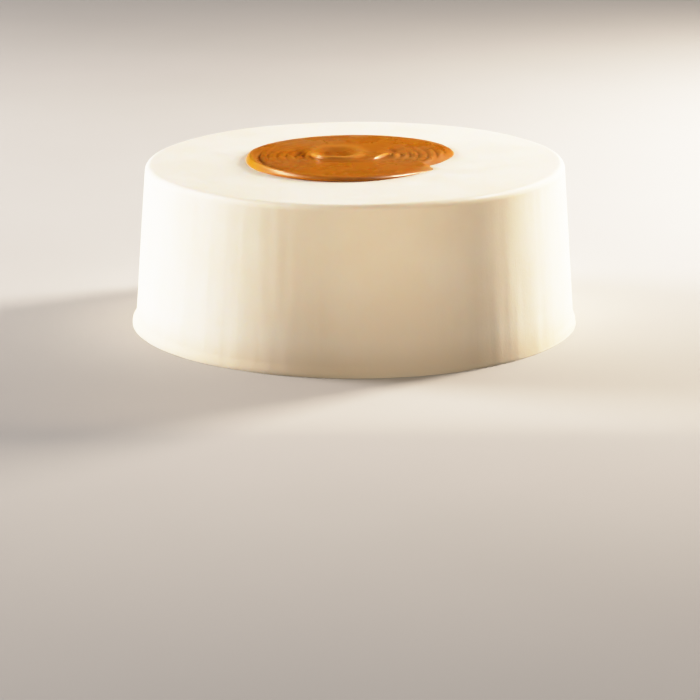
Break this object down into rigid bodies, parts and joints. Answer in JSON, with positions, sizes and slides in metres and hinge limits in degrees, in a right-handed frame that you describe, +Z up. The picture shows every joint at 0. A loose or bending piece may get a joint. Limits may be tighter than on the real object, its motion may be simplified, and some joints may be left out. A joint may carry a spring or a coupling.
{
  "type": "caramel cake",
  "caption": "Whole round cake under smooth pale frosting, slightly tapered, with a coiled glossy caramel disc on top.",
  "frame": {"origin": "middle of the cake's flat underside", "axes": "+Z up through the cake, -Y towards the front as it was looked at, +X to that view's right"},
  "size_m": [0.2182, 0.2158, 0.084],
  "materials": {
    "frosting": "smooth whipped frosting, soft satin sheen",
    "caramel": "thick glossy caramel"
  },
  "bodies": {
    "root": {"frosted_cake": "frosting", "caramel_swirl": "caramel"}
  },
  "joints": []
}
